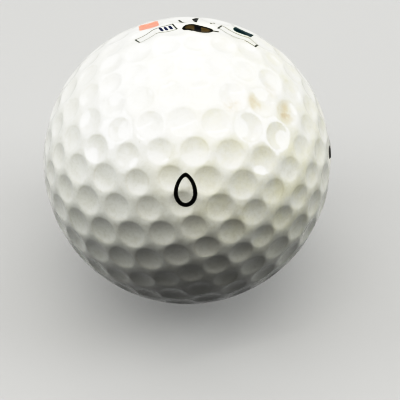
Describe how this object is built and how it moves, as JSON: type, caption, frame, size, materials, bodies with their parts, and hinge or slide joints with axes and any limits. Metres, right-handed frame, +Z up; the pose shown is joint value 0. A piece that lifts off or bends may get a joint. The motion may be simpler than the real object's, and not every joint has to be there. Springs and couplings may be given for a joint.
{
  "type": "golf ball",
  "caption": "Round dimpled ball of moulded layers: inner core, outer core, mantle and white cover in half shells, with a printed play number, plain emblem and alignment line.",
  "frame": {"origin": "centre of the ball", "axes": "+Z up as the ball is shown, -Y towards the side with the play number, +X to the right of it"},
  "size_m": [0.0427, 0.0426, 0.0426],
  "materials": {
    "inner_core": "satin moulded rubber",
    "outer_core": "satin moulded rubber",
    "mantle": "plain moulded ionomer",
    "cover": "glossy painted and clear-coated ionomer",
    "black_ink": "gloss pad-printed ink under clear coat",
    "grey_ink": "gloss pad-printed ink under clear coat",
    "bronze_ink": "gloss metallic pad-printed ink",
    "salmon_ink": "gloss pad-printed ink under clear coat",
    "teal_ink": "gloss pad-printed ink under clear coat",
    "navy_ink": "gloss pad-printed ink under clear coat"
  },
  "bodies": {
    "root": {"inner_core": "inner_core", "outer_core_upper": "outer_core", "outer_core_lower": "outer_core", "mantle_upper": "mantle", "mantle_lower": "mantle", "cover_upper": "cover", "cover_lower": "cover", "play_number": "black_ink", "emblem_roundel": "black_ink", "emblem_roundel_centre": "bronze_ink", "emblem_panels": "grey_ink", "emblem_patch_left": "salmon_ink", "emblem_patch_right": "teal_ink", "emblem_rays": "black_ink", "emblem_blocks": "navy_ink", "alignment_line": "black_ink"}
  },
  "joints": []
}
